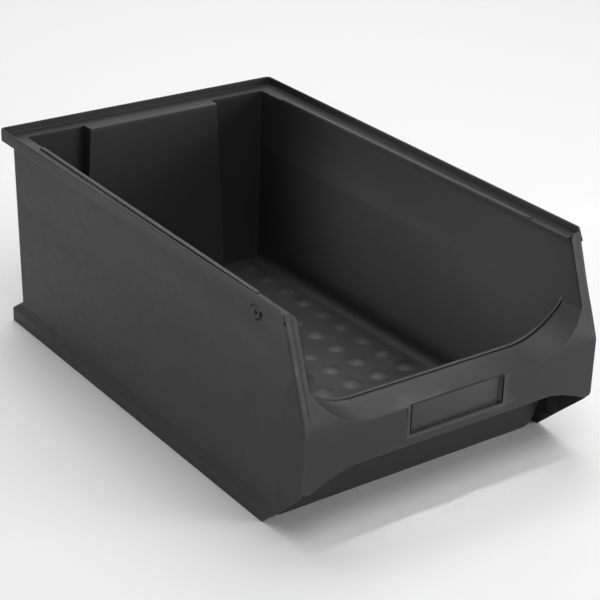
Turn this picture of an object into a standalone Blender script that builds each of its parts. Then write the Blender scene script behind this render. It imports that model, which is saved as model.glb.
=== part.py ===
"""Open-front stacking storage crate, 500 x 310 x 200 mm, in black polypropylene.

Metres, +Z up. The open front faces -Y, the width runs along X, and the origin is on the ground
under the middle of the crate. The crate is one moulding. Each of its walls, rims, runners and
front features is a closed solid of its own, with JOIN between neighbours.
"""
import math

import bmesh
import bpy
from mathutils import Matrix

# Overall size
LENGTH = 0.500
WIDTH = 0.310
HEIGHT = 0.200
FRONT_Y = -LENGTH / 2
REAR_Y = LENGTH / 2
SIDE_X = WIDTH / 2

# Wall thickness, and the clearance between neighbouring solids
SKIN = 0.0022
JOIN = 0.0003

# Rim: a tray that the runners of the crate above stand in
UPSTAND = 0.0021
LEDGE_TOP = 0.1925
LEDGE_UNDER = LEDGE_TOP - SKIN
LIP_FOOT = 0.1884
LIP_SHOULDER = 0.0042
LIP_SKIN = 0.0016
RIM_SLIT = 0.0012
RIM_SPLIT_Y = 0.2218
RIM_CORNER = 0.0060
RIB_WIDTH = 0.0042
RIB_HEIGHT = 0.0014
RIB_FRONT_Y = -0.1680
RIB_REAR_Y = 0.1980

# Double-skinned side walls. The inner skins draw in towards the rear.
INNER_X = 0.1380
INNER_DRAFT = 0.0165
FRONT_X = 0.1411
OUTER_TOP_X = 0.1529
OUTER_FOOT_X = 0.1496
OUTER_FOOT_Z = 0.0230

# Rear wall, with a middle panel that steps forward
REAR_INNER_Y = 0.2335
REAR_OUTER_Y = REAR_INNER_Y + SKIN
REAR_CORNER = 0.0136
PANEL_Y = 0.2215
PANEL_HALF_TOP = 0.0720
PANEL_HALF_FOOT = 0.0840

# Floor, its curved edges and its studs
FLOOR_TOP = 0.0036
FLOOR_UNDER = FLOOR_TOP - SKIN
COVE = 0.0090
STUD_RADIUS = 0.0094
STUD_HEIGHT = 0.0020
STUD_SIDES = 10
STUD_PITCH_X = 0.0323
STUD_PITCH_Y = 0.0329
STUD_COLUMNS = 8
STUD_ROWS = 13
STUD_FRONT_Y = -0.1796

# Runners under the side walls
RUNNER_X = 0.1520
RUNNER_TOP = 0.0132
RUNNER_REAR_Y = 0.2445

# Front: a leaning inner wall, a U-shaped sill, a vertical apron and two sloping pillars
FRONT_FOOT_Y = -0.1920
FRONT_LEAN = 0.221
FRONT_CORNER = 0.0110
SILL_INNER_Y = -0.2156
SILL_TOP = 0.1059
SILL_FALL = 0.062
SILL_FLAT = 0.0820
SILL_RADIUS = 0.0720
SILL_STEPS = 8
WALL_GAP = 0.0010
BEAD_TOP = 0.1072
BEAD_WIDTH = 0.0024
FACE_TOP = 0.1093
FACE_FOOT = 0.0545
RISE_FOOT_Y = -0.1930
PILLAR_LEAN = 0.3750
PILLAR_TOP = 0.1965
PILLAR_DEPTH = 0.0020
APRON_FOOT = 0.0670
APRON_DEPTH = 0.0024
ARCH_HALF = 0.1000
CORNER_TOP_X = 0.1530
CORNER_FOOT_X = 0.1535
CHEEK_TOP = 0.1500

# Label pocket in the apron
LABEL_HALF = 0.0500
LABEL_FOOT = 0.0765
LABEL_FRAME = 0.0030
LABEL_DEPTH = 0.0030
LABEL_SLOT = 0.0030

# Round mark near the top front of each side wall
BOSS_Y = -0.1807
BOSS_Z = 0.1848
BOSS_RADIUS = 0.0072
BOSS_SIDES = 32
BOSS_BACK_X = 0.1494
BOSS_FACE_X = 0.1539

collection = None


def clear_scene():
    for obj in list(bpy.data.objects):
        bpy.data.objects.remove(obj, do_unlink=True)


def new_collection(name):
    made = bpy.data.collections.new(name)
    bpy.context.scene.collection.children.link(made)
    return made


def plastic(name, grey):
    """Satin black polypropylene."""
    material = bpy.data.materials.new(name)
    material.use_nodes = True
    shader = material.node_tree.nodes["Principled BSDF"]
    shader.inputs["Base Color"].default_value = (grey, grey, grey * 1.02, 1.0)
    shader.inputs["Roughness"].default_value = 0.46
    shader.inputs["Metallic"].default_value = 0.0
    material.diffuse_color = (grey, grey, grey, 1.0)
    return material


def add_mesh(name, mesh, grey=0.045):
    obj = bpy.data.objects.new(name, mesh)
    collection.objects.link(obj)
    mesh.materials.clear()
    mesh.materials.append(plastic(name + "_plastic", grey))
    return obj


def face_out(mesh):
    work = bmesh.new()
    work.from_mesh(mesh)
    bmesh.ops.recalc_face_normals(work, faces=work.faces)
    work.to_mesh(mesh)
    work.free()


def outline_mesh(name, outline, low, high):
    """The flat outline as a filled 2D curve, extruded from low to high along local Z."""
    curve = bpy.data.curves.new(name, "CURVE")
    curve.dimensions = "2D"
    curve.fill_mode = "BOTH"
    curve.extrude = (high - low) / 2
    spline = curve.splines.new("POLY")
    spline.points.add(len(outline) - 1)
    for point, (u, v) in zip(spline.points, outline):
        point.co = (u, v, 0.0, 1.0)
    spline.use_cyclic_u = True
    guide = bpy.data.objects.new(name + "_outline", curve)
    bpy.context.scene.collection.objects.link(guide)
    bpy.context.view_layer.update()
    graph = bpy.context.evaluated_depsgraph_get()
    mesh = bpy.data.meshes.new_from_object(guide.evaluated_get(graph))
    bpy.data.objects.remove(guide, do_unlink=True)
    work = bmesh.new()
    work.from_mesh(mesh)
    bmesh.ops.remove_doubles(work, verts=work.verts, dist=0.00001)
    work.to_mesh(mesh)
    work.free()
    mesh.transform(Matrix.Translation((0.0, 0.0, (low + high) / 2)))
    mesh.name = name
    return mesh


# Local (u, v, w) to world axes for an outline drawn in each plane
ALONG_X = Matrix(((0, 0, 1, 0), (1, 0, 0, 0), (0, 1, 0, 0), (0, 0, 0, 1)))
ALONG_Y = Matrix(((1, 0, 0, 0), (0, 0, 1, 0), (0, 1, 0, 0), (0, 0, 0, 1)))
ALONG_Z = Matrix.Identity(4)


def extrude(name, outline, axes, low, high, shear=None):
    """A prism of the outline, with its far axis running from low to high, then sheared."""
    mesh = outline_mesh(name, outline, low, high)
    mesh.transform(axes)
    if shear is not None:
        mesh.transform(shear)
    face_out(mesh)
    return mesh


def loft(name, sections):
    """A closed body through plan outlines [(z, [(x, y), ...]), ...] with equal point counts."""
    work = bmesh.new()
    rings = []
    for z, outline in sections:
        rings.append([work.verts.new((x, y, z)) for x, y in outline])
    count = len(rings[0])
    for lower, upper in zip(rings, rings[1:]):
        for i in range(count):
            j = (i + 1) % count
            work.faces.new((lower[i], lower[j], upper[j], upper[i]))
    work.faces.new(rings[0])
    work.faces.new(rings[-1])
    bmesh.ops.recalc_face_normals(work, faces=work.faces)
    mesh = bpy.data.meshes.new(name)
    work.to_mesh(mesh)
    work.free()
    return mesh


def box_mesh(name, low, high):
    work = bmesh.new()
    bmesh.ops.create_cube(work, size=1.0)
    size = [b - a for a, b in zip(low, high)]
    middle = [(a + b) / 2 for a, b in zip(low, high)]
    bmesh.ops.scale(work, vec=size, verts=work.verts)
    bmesh.ops.translate(work, vec=middle, verts=work.verts)
    mesh = bpy.data.meshes.new(name)
    work.to_mesh(mesh)
    work.free()
    return mesh


def mirrored(mesh):
    """A copy of the mesh on the other side of the X = 0 plane."""
    copy = mesh.copy()
    copy.transform(Matrix.Diagonal((-1.0, 1.0, 1.0, 1.0)))
    copy.flip_normals()
    return copy


def add_pair(name, right_mesh, grey=0.045):
    """The right-hand mesh (+X) and its mirror image, as two objects."""
    right = add_mesh("right_" + name, right_mesh, grey)
    left = add_mesh("left_" + name, mirrored(right_mesh), grey)
    return left, right


def combine(target, meshes, operation):
    """Applies a Boolean with each mesh in turn, and keeps the result in the target's mesh."""
    for index, mesh in enumerate(meshes):
        other = bpy.data.objects.new("tool", mesh)
        cutters.objects.link(other)
        other.hide_render = True
        other.display_type = "WIRE"
        step = target.modifiers.new("step%d" % index, "BOOLEAN")
        step.operation = operation
        step.solver = "EXACT"
        step.object = other
        bpy.context.view_layer.update()
        graph = bpy.context.evaluated_depsgraph_get()
        done = bpy.data.meshes.new_from_object(target.evaluated_get(graph))
        target.modifiers.clear()
        target.data = done
        bpy.data.objects.remove(other, do_unlink=True)


def arc(centre, radius, start, end, steps):
    """Points on an arc, angles in degrees from +u towards +v."""
    points = []
    for i in range(steps + 1):
        angle = math.radians(start + (end - start) * i / steps)
        points.append((centre[0] + radius * math.cos(angle), centre[1] + radius * math.sin(angle)))
    return points


def pillar_y(z):
    """Outer face of the sloping pillars: it meets the vertical front face at FACE_TOP."""
    return FRONT_Y + max(0.0, z - FACE_TOP) * PILLAR_LEAN


def inner_x(y):
    """Inner face of the side wall."""
    return INNER_X - INNER_DRAFT * y


def draw_in(mesh, low_x=0.0, high_x=WIDTH):
    """Shears the part of the mesh between two distances from the middle along the inner walls."""
    for vertex in mesh.vertices:
        if low_x < abs(vertex.co.x) < high_x:
            vertex.co.x += (inner_x(vertex.co.y) - INNER_X) * math.copysign(1.0, vertex.co.x)
    return mesh


def panel_half(z):
    """Half the width of the rear panel, which narrows towards the rim."""
    return PANEL_HALF_FOOT + (PANEL_HALF_TOP - PANEL_HALF_FOOT) * z / LEDGE_TOP


def front_wall_y(z):
    """Outer face of the leaning front inner wall."""
    return FRONT_FOOT_Y - FRONT_LEAN * z


def rise_y(z):
    """The lower edge of the front corners, which rises from the ground to FACE_FOOT."""
    return RISE_FOOT_Y + (FRONT_Y - RISE_FOOT_Y) * z / FACE_FOOT


def outer_x(z):
    """Outer face of the side wall, which tapers towards the foot."""
    share = (z - OUTER_FOOT_Z) / (LIP_FOOT - OUTER_FOOT_Z)
    return OUTER_FOOT_X + (OUTER_TOP_X - OUTER_FOOT_X) * share


def u_curve(base, offset, reach):
    """The U of the sill, seen from the front, from -reach to +reach: a flat with two arcs.

    The curve is moved outwards, that is down and away, by the offset.
    """
    centre_z = base + SILL_RADIUS
    radius = SILL_RADIUS + offset
    end = math.degrees(math.asin((reach - SILL_FLAT) / radius))
    right = arc((SILL_FLAT, centre_z), radius, -90.0, -90.0 + end, SILL_STEPS)
    left = [(-x, z) for x, z in reversed(right)]
    return left + right


def u_band(base, thickness, reach):
    """A closed outline: the U curve and the same curve moved down by the thickness."""
    return u_curve(base, 0.0, reach) + list(reversed(u_curve(base, thickness, reach)))


def shear_y(slope, origin_z):
    """Moves y by slope for each unit of z above origin_z."""
    matrix = Matrix.Identity(4)
    matrix[1][2] = slope
    matrix[1][3] = -slope * origin_z
    return matrix


def shear_z(slope, origin_y):
    """Moves z by slope for each unit of y above origin_y."""
    matrix = Matrix.Identity(4)
    matrix[2][1] = slope
    matrix[2][3] = -slope * origin_y
    return matrix


def make_floor():
    """A flat panel with a cove up to each side wall, and rows of low round studs."""
    edge = INNER_X - JOIN
    corner = (edge - COVE, FLOOR_TOP + COVE)
    right = arc(corner, COVE + SKIN, -90.0, 0.0, 5) + arc(corner, COVE, 0.0, -90.0, 5)
    outline = right + [(-x, z) for x, z in reversed(right)]
    front = FRONT_FOOT_Y + SKIN + JOIN - FRONT_LEAN * FLOOR_UNDER
    mesh = extrude("floor_panel", outline, ALONG_Y, front, REAR_INNER_Y - JOIN)
    floor = add_mesh("floor_panel", draw_in(mesh), 0.052)
    keep = box_mesh("keep", (-WIDTH, front, -0.01), (WIDTH, REAR_Y, 0.03))
    keep.transform(shear_y(-FRONT_LEAN, FLOOR_UNDER))
    combine(floor, [keep], "INTERSECT")
    combine(floor, [stud_mesh()], "UNION")
    return floor


def stud_mesh():
    """All studs as closed domes, sunk into the floor so that one union joins them."""
    work = bmesh.new()
    sphere = (STUD_RADIUS ** 2 + STUD_HEIGHT ** 2) / (2 * STUD_HEIGHT)
    for column in range(STUD_COLUMNS):
        x = (column - (STUD_COLUMNS - 1) / 2) * STUD_PITCH_X
        for row in range(STUD_ROWS):
            y = STUD_FRONT_Y + row * STUD_PITCH_Y
            if y + STUD_RADIUS > PANEL_Y and abs(x) < PANEL_HALF_FOOT:
                continue
            rings = []
            for share in (1.0, 0.62):
                radius = STUD_RADIUS * share
                height = math.sqrt(sphere ** 2 - radius ** 2) - (sphere - STUD_HEIGHT)
                z = FLOOR_TOP + height
                rings.append([(x + a, y + b, z) for a, b in arc((0, 0), radius, 0, 360, STUD_SIDES)[:-1]])
            foot = [(a, b, FLOOR_TOP - 0.001) for a, b, _ in rings[0]]
            levels = [[work.verts.new(p) for p in ring] for ring in [foot] + rings]
            top = work.verts.new((x, y, FLOOR_TOP + STUD_HEIGHT))
            for lower, upper in zip(levels, levels[1:]):
                for i in range(STUD_SIDES):
                    j = (i + 1) % STUD_SIDES
                    work.faces.new((lower[i], lower[j], upper[j], upper[i]))
            for i in range(STUD_SIDES):
                work.faces.new((levels[-1][i], levels[-1][(i + 1) % STUD_SIDES], top))
            work.faces.new(list(reversed(levels[0])))
    mesh = bpy.data.meshes.new("studs")
    work.to_mesh(mesh)
    work.free()
    return mesh


def make_inner_walls():
    """The skins that face the contents."""
    low = FLOOR_TOP + COVE + JOIN
    high = LEDGE_UNDER - JOIN
    bend = SILL_TOP + 0.032
    behind = PILLAR_DEPTH + JOIN
    outline = [
        (front_wall_y(low) + SKIN, low),
        (REAR_INNER_Y - JOIN, low),
        (REAR_INNER_Y - JOIN, high),
        (pillar_y(high) + behind, high),
        (pillar_y(bend) + behind, bend),
        (front_wall_y(bend) + SKIN, bend),
    ]
    mesh = extrude("inner_wall", outline, ALONG_X, INNER_X, INNER_X + SKIN)
    add_pair("inner_wall", draw_in(mesh))


def crease_y(z):
    """Where the cheek starts to flare out from the side wall."""
    points = [(0.012, -0.2060), (0.103, -0.2160), (0.128, -0.2180), (0.150, -0.2300)]
    for (z0, y0), (z1, y1) in zip(points, points[1:]):
        if z <= z1:
            break
    return y0 + (y1 - y0) * (z - z0) / (z1 - z0)


def make_outer_walls():
    """The outer skins, from the crease at the front to the rear corners."""
    levels = (OUTER_FOOT_Z + JOIN, 0.103, 0.128, CHEEK_TOP, CHEEK_TOP + JOIN, LIP_FOOT - JOIN)
    rear = REAR_OUTER_Y - REAR_CORNER - JOIN
    sections = []
    for z in levels:
        front = crease_y(z) + JOIN
        if z > CHEEK_TOP:
            front = pillar_y(z) + PILLAR_DEPTH + JOIN
        x = outer_x(z)
        sections.append((z, [(x - SKIN, front), (x, front), (x, rear), (x - SKIN, rear)]))
    mesh = loft("outer_wall", sections)
    left, right = add_pair("outer_wall", mesh)
    combine(right, [boss_hole()], "DIFFERENCE")
    combine(left, [mirrored(boss_hole())], "DIFFERENCE")


def boss_hole():
    """The round hole in the right-hand side for the boss, deep enough to leave the ledge whole."""
    outline = arc((BOSS_Y, BOSS_Z), BOSS_RADIUS, 0.0, 360.0, BOSS_SIDES)[:-1]
    return extrude("boss_hole", outline, ALONG_X, BOSS_BACK_X - JOIN, WIDTH)


def make_bosses():
    """A round boss with a step round it and a blind centre hole, set in each wall and its lip."""
    back = BOSS_BACK_X - BOSS_FACE_X
    for name, side in (("left_boss", -1), ("right_boss", 1)):
        profile = [(0.0, back), (BOSS_RADIUS - JOIN, back), (BOSS_RADIUS - JOIN, back + 0.0021),
                   (0.0056, back + 0.0021), (0.0056, 0.0), (0.0016, 0.0), (0.0014, -0.0012), (0.0, -0.0012)]
        mesh = turned(name, profile)
        mesh.transform(Matrix.Rotation(side * math.radians(90), 4, "Y"))
        mesh.transform(Matrix.Translation((side * BOSS_FACE_X, BOSS_Y, BOSS_Z)))
        face_out(mesh)
        boss = add_mesh(name, mesh, 0.04)
        boss.data.shade_smooth()
        boss.data.set_sharp_from_angle(angle=math.radians(35))


def turned(name, profile):
    """A profile of (radius, height) points turned about Z."""
    mesh = bpy.data.meshes.new(name)
    edges = [(i, i + 1) for i in range(len(profile) - 1)]
    mesh.from_pydata([(r, 0.0, h) for r, h in profile], edges, [])
    guide = bpy.data.objects.new(name + "_profile", mesh)
    bpy.context.scene.collection.objects.link(guide)
    screw = guide.modifiers.new("turn", "SCREW")
    screw.steps = BOSS_SIDES
    screw.render_steps = BOSS_SIDES
    screw.use_merge_vertices = True
    screw.merge_threshold = 0.00001
    bpy.context.view_layer.update()
    graph = bpy.context.evaluated_depsgraph_get()
    made = bpy.data.meshes.new_from_object(guide.evaluated_get(graph))
    bpy.data.objects.remove(guide, do_unlink=True)
    return made


def make_side_rims():
    """Upstand, ledge and lip along each side, cut off at the front parallel to the pillar."""
    outline = [
        (SIDE_X, HEIGHT),
        (SIDE_X - UPSTAND, HEIGHT),
        (SIDE_X - UPSTAND, LEDGE_TOP),
        (INNER_X, LEDGE_TOP),
        (INNER_X, LEDGE_UNDER),
        (SIDE_X - LIP_SHOULDER, LEDGE_UNDER),
        (SIDE_X - LIP_SHOULDER, LIP_FOOT),
        (SIDE_X, LIP_FOOT),
    ]
    mesh = extrude("rim", outline, ALONG_Y, FRONT_Y, RIM_SPLIT_Y - JOIN)
    right = add_mesh("right_rim", draw_in(mesh, 0.0, INNER_X + JOIN), 0.05)
    low = pillar_y(LIP_FOOT) + PILLAR_DEPTH + RIM_SLIT
    high = low + PILLAR_LEAN * (HEIGHT - LIP_FOOT)
    beyond = [(low, LIP_FOOT), (high, HEIGHT), (high, HEIGHT + 0.01), (FRONT_Y - 0.01, HEIGHT + 0.01),
              (FRONT_Y - 0.01, LIP_FOOT - 0.01), (low, LIP_FOOT - 0.01)]
    combine(right, [extrude("beyond", beyond, ALONG_X, 0.0, WIDTH), boss_hole()], "DIFFERENCE")
    add_mesh("left_rim", mirrored(right.data), 0.05)
    low = LEDGE_TOP + JOIN
    rib = box_mesh("rib", (INNER_X, RIB_FRONT_Y, low),
                   (INNER_X + RIB_WIDTH, RIB_REAR_Y, low + RIB_HEIGHT))
    add_pair("rim_rib", draw_in(rib), 0.055)


def rounded_box_mesh(name, half_x, front, rear, low, high, radius):
    """A block with its two rear vertical corners rounded."""
    right = arc((half_x - radius, rear - radius), radius, 0.0, 90.0, 6)
    outline = [(half_x, front)] + right
    outline += [(-x, y) for x, y in reversed(outline)]
    return extrude(name, outline, ALONG_Z, low, high)


def make_rear_rim():
    """The rear tray. It overhangs the rear wall, so the crate can also be gripped or hung by it."""
    block = rounded_box_mesh("rear_rim", SIDE_X, RIM_SPLIT_Y, REAR_Y, LIP_FOOT, HEIGHT, RIM_CORNER)
    rim = add_mesh("rear_rim", block, 0.05)
    tray = rounded_box_mesh("tray", SIDE_X - UPSTAND, RIM_SPLIT_Y - 0.01, REAR_Y - UPSTAND,
                            LEDGE_TOP, HEIGHT + 0.01, RIM_CORNER - UPSTAND)
    under = rounded_box_mesh("under", SIDE_X - LIP_SKIN, RIM_SPLIT_Y - 0.01, REAR_Y - LIP_SKIN,
                             LIP_FOOT - 0.01, LEDGE_UNDER, RIM_CORNER - LIP_SKIN)
    reach = inner_x(REAR_INNER_Y)
    mouth = box_mesh("mouth", (-reach, RIM_SPLIT_Y - 0.01, LIP_FOOT - 0.01),
                     (reach, REAR_INNER_Y, HEIGHT + 0.01))
    combine(rim, [tray, under, mouth], "DIFFERENCE")
    shelf = box_mesh("shelf", (-PANEL_HALF_TOP, PANEL_Y, LEDGE_UNDER),
                     (PANEL_HALF_TOP, REAR_INNER_Y + SKIN, LEDGE_TOP))
    combine(rim, [shelf], "UNION")


def make_rear_wall():
    """Two outer parts, each with a rounded corner and a return, and the panel between them."""
    low = OUTER_FOOT_Z + JOIN
    high = LEDGE_UNDER - JOIN
    part = []
    for z in (low, high):
        edge = panel_half(z) + JOIN
        middle = (outer_x(z) - REAR_CORNER, REAR_OUTER_Y - REAR_CORNER)
        outline = arc(middle, REAR_CORNER, 0.0, 90.0, 6)
        outline += [(edge, REAR_OUTER_Y), (edge, PANEL_Y), (edge + SKIN, PANEL_Y)]
        outline += [(edge + SKIN, REAR_INNER_Y), (inner_x(REAR_Y) + SKIN, REAR_INNER_Y)]
        outline += arc(middle, REAR_CORNER - SKIN, 50.0, 0.0, 3)
        part.append((z, outline))
    add_pair("rear_wall", loft("rear_wall", part))
    low = FLOOR_TOP + JOIN
    foot = panel_half(low)
    top = panel_half(high)
    outline = [(-foot, low), (foot, low), (top, high), (-top, high)]
    add_mesh("rear_panel", extrude("rear_panel", outline, ALONG_Y, PANEL_Y, PANEL_Y + SKIN))


def make_rear_foot():
    """The rear foot of the base, a channel open underneath, and a return at each panel edge."""
    top = OUTER_FOOT_Z
    outline = [
        (REAR_INNER_Y, 0.0),
        (REAR_INNER_Y, top),
        (REAR_OUTER_Y, top),
        (RUNNER_REAR_Y, RUNNER_TOP),
        (RUNNER_REAR_Y, 0.0),
        (RUNNER_REAR_Y - SKIN, 0.0),
        (RUNNER_REAR_Y - SKIN, RUNNER_TOP - 0.0014),
        (REAR_OUTER_Y, top - 0.0032),
        (REAR_OUTER_Y, 0.0),
    ]
    half = OUTER_FOOT_X - SKIN - JOIN
    add_mesh("rear_foot", extrude("rear_foot", outline, ALONG_X, -half, half))
    foot = collection.objects["rear_foot"]
    edge = panel_half(FLOOR_TOP) + 2 * JOIN
    for side in (-1, 1):
        ends = sorted((side * edge, side * (edge + SKIN)))
        rib = box_mesh("return", (ends[0], PANEL_Y, FLOOR_TOP + JOIN), (ends[1], REAR_OUTER_Y, top))
        combine(foot, [rib], "UNION")


def make_runners():
    """The feet along both sides, with a sloping shoulder up to the wall."""
    outline = [
        (RUNNER_X - SKIN, 0.0),
        (RUNNER_X, 0.0),
        (RUNNER_X, RUNNER_TOP),
        (OUTER_FOOT_X, OUTER_FOOT_Z),
        (OUTER_FOOT_X - SKIN, OUTER_FOOT_Z),
        (RUNNER_X - SKIN, RUNNER_TOP - 0.0008),
    ]
    mesh = extrude("runner", outline, ALONG_Y, rise_y(OUTER_FOOT_Z), RUNNER_REAR_Y)
    right = add_mesh("right_runner", mesh)
    outline = [(rise_y(-0.01), -0.01), (rise_y(0.05), 0.05), (FRONT_Y, 0.05), (FRONT_Y, -0.01)]
    combine(right, [extrude("wedge", outline, ALONG_X, -WIDTH, WIDTH)], "DIFFERENCE")
    add_mesh("left_runner", mirrored(right.data))


def make_front_inner_wall():
    """The leaning wall that holds the contents in at the front, cut to the U of the sill."""
    reach = FRONT_X - JOIN
    top = u_curve(SILL_TOP, SKIN + WALL_GAP, reach)
    corner = arc((FRONT_CORNER - reach, FRONT_CORNER), FRONT_CORNER, -90.0, -180.0, 5)
    outline = [(-x, z) for x, z in reversed(corner)] + corner + top
    mesh = extrude("front_inner_wall", outline, ALONG_Y, FRONT_FOOT_Y, FRONT_FOOT_Y + SKIN,
                   shear_y(-FRONT_LEAN, 0.0))
    add_mesh("front_inner_wall", mesh)


def make_sill():
    """The broad sloping lip of the front opening, and the thin bead along its inner edge."""
    reach = FRONT_X - JOIN
    outline = u_band(SILL_TOP, SKIN, reach)
    mesh = extrude("front_sill", outline, ALONG_Y, FRONT_Y, SILL_INNER_Y,
                   shear_z(SILL_FALL, SILL_INNER_Y))
    sill = add_mesh("front_sill", mesh, 0.055)
    trim = extrude("trim", [(FRONT_Y - 0.01, 0.0), (FRONT_Y, 0.0), (FRONT_Y, FACE_TOP),
                            (pillar_y(HEIGHT), HEIGHT), (FRONT_Y - 0.01, HEIGHT)],
                   ALONG_X, -WIDTH, WIDTH)
    notch = box_mesh("notch", (-LABEL_HALF, FRONT_Y - 0.01, LABEL_FOOT),
                     (LABEL_HALF, FRONT_Y + LABEL_DEPTH, HEIGHT))
    combine(sill, [trim, notch], "DIFFERENCE")
    outline = u_band(BEAD_TOP, SKIN + 0.001, reach)
    low = SILL_INNER_Y + JOIN
    add_mesh("sill_bead", extrude("sill_bead", outline, ALONG_Y, low, low + BEAD_WIDTH), 0.05)


def make_pillars():
    """The sloping front faces of the side walls, running down into the front corners."""
    reach = FRONT_X
    outer = CORNER_TOP_X
    boundary_base = SILL_TOP - SILL_FALL * 0.030
    curve = [(x, z) for x, z in u_curve(boundary_base, SKIN + JOIN, reach) if x > 0.0 and z > FACE_TOP]
    outline = [(curve[0][0], FACE_TOP + JOIN), (outer, FACE_TOP + JOIN), (OUTER_TOP_X, PILLAR_TOP),
               (reach, PILLAR_TOP)] + list(reversed(curve))
    mesh = extrude("pillar", outline, ALONG_Y, FRONT_Y, FRONT_Y + PILLAR_DEPTH,
                   shear_y(PILLAR_LEAN, FACE_TOP))
    add_pair("pillar", mesh, 0.055)


def make_cheeks():
    """The flared sides of the front corners, with a lower edge that rises to the front."""
    sections = []
    for z in (OUTER_FOOT_Z + JOIN, FACE_FOOT, FACE_TOP, 0.128, CHEEK_TOP - 0.0005):
        front = FRONT_Y
        x = CORNER_FOOT_X
        if z < FACE_FOOT:
            front = rise_y(z)
            x = outer_x(z) + 0.0004
        if z >= FACE_TOP:
            front = pillar_y(z) + PILLAR_DEPTH + JOIN
            x = CORNER_TOP_X
        back = crease_y(z)
        near = outer_x(z)
        sections.append((z, [(near - SKIN, back), (x - SKIN, front), (x, front), (near, back)]))
    add_pair("cheek", loft("cheek", sections))


def make_apron():
    """The vertical front face, arched along its lower edge, with a window for the label pocket."""
    reach = CORNER_TOP_X - SKIN - JOIN - 0.0005
    foot = [(-x, z) for x, z in reversed(arch(reach))] + arch(reach)
    under = u_curve(SILL_TOP - SILL_FALL * 0.034, SKIN + 2 * JOIN, FRONT_X)
    top = [(x, z) for x, z in under if z < FACE_TOP - JOIN]
    outline = foot + [(reach, FACE_TOP - JOIN), (top[-1][0] + 0.004, FACE_TOP - JOIN)]
    outline += list(reversed(top)) + [(top[0][0] - 0.004, FACE_TOP - JOIN), (-reach, FACE_TOP - JOIN)]
    mesh = extrude("front_apron", outline, ALONG_Y, FRONT_Y, FRONT_Y + APRON_DEPTH)
    apron = add_mesh("front_apron", mesh, 0.05)
    edge = LABEL_HALF + LABEL_FRAME + JOIN
    window = box_mesh("window", (-edge, FRONT_Y - 0.01, LABEL_FOOT - LABEL_FRAME - JOIN),
                      (edge, FRONT_Y + 0.01, HEIGHT))
    combine(apron, [window], "DIFFERENCE")


def arch(reach):
    """The right half of the apron's lower edge, from the middle to the corner."""
    drop = APRON_FOOT - FACE_FOOT - 0.0005
    points = []
    for i in range(7):
        share = i / 6
        points.append((ARCH_HALF + (reach - ARCH_HALF) * share, APRON_FOOT - drop * share ** 1.7))
    return [(0.0, APRON_FOOT)] + points


def make_label_pocket():
    """A shallow pocket for a card, open at the top, with a narrow slot through at each end."""
    edge = LABEL_HALF + LABEL_FRAME
    top = SILL_TOP - SILL_FALL * 0.034 - SKIN - 2 * JOIN
    low = LABEL_FOOT - LABEL_FRAME
    block = box_mesh("label_pocket", (-edge, FRONT_Y, low), (edge, FRONT_Y + LABEL_DEPTH + SKIN, top))
    pocket = add_mesh("label_pocket", block, 0.045)
    recess = box_mesh("recess", (-LABEL_HALF, FRONT_Y - 0.01, LABEL_FOOT),
                      (LABEL_HALF, FRONT_Y + LABEL_DEPTH, HEIGHT))
    slots = [recess]
    for side in (-1, 1):
        ends = sorted((side * LABEL_HALF, side * (LABEL_HALF - LABEL_SLOT)))
        slots.append(box_mesh("slot", (ends[0], FRONT_Y - 0.01, LABEL_FOOT),
                              (ends[1], FRONT_Y + 0.02, top - 0.004)))
    combine(pocket, slots, "DIFFERENCE")


clear_scene()
collection = new_collection("stacking_crate")
cutters = new_collection("cutters")
cutters.hide_render = True
make_floor()
make_inner_walls()
make_outer_walls()
make_bosses()
make_side_rims()
make_rear_rim()
make_rear_wall()
make_rear_foot()
make_runners()
make_front_inner_wall()
make_sill()
make_pillars()
make_cheeks()
make_apron()
make_label_pocket()
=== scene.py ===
"""The looks of the open-front stacking crate: its moulding in black polypropylene, and a studio."""
import math

import bmesh
import bpy
import numpy as np
from mathutils import Matrix, Vector
from mathutils.geometry import tessellate_polygon


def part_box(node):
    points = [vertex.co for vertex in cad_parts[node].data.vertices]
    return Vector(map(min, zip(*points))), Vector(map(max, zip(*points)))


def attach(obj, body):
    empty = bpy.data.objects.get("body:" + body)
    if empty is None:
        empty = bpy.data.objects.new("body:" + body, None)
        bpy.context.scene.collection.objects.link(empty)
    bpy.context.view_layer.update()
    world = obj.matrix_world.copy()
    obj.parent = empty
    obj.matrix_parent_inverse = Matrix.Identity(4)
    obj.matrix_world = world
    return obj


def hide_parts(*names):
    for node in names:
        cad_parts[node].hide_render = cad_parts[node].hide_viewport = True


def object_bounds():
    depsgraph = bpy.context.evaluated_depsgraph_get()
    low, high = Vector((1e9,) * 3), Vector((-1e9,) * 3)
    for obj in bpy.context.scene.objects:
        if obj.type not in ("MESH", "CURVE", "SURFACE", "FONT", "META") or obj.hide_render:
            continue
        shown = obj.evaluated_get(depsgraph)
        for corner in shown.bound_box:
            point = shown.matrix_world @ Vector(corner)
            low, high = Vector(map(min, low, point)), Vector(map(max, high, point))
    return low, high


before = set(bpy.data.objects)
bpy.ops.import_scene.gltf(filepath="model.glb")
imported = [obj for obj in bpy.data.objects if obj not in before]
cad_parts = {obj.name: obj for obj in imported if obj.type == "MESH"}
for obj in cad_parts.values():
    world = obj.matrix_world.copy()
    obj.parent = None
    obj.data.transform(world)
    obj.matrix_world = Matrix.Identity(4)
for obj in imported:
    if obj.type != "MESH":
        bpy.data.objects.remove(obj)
cad_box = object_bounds()

MM = 0.001

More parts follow.
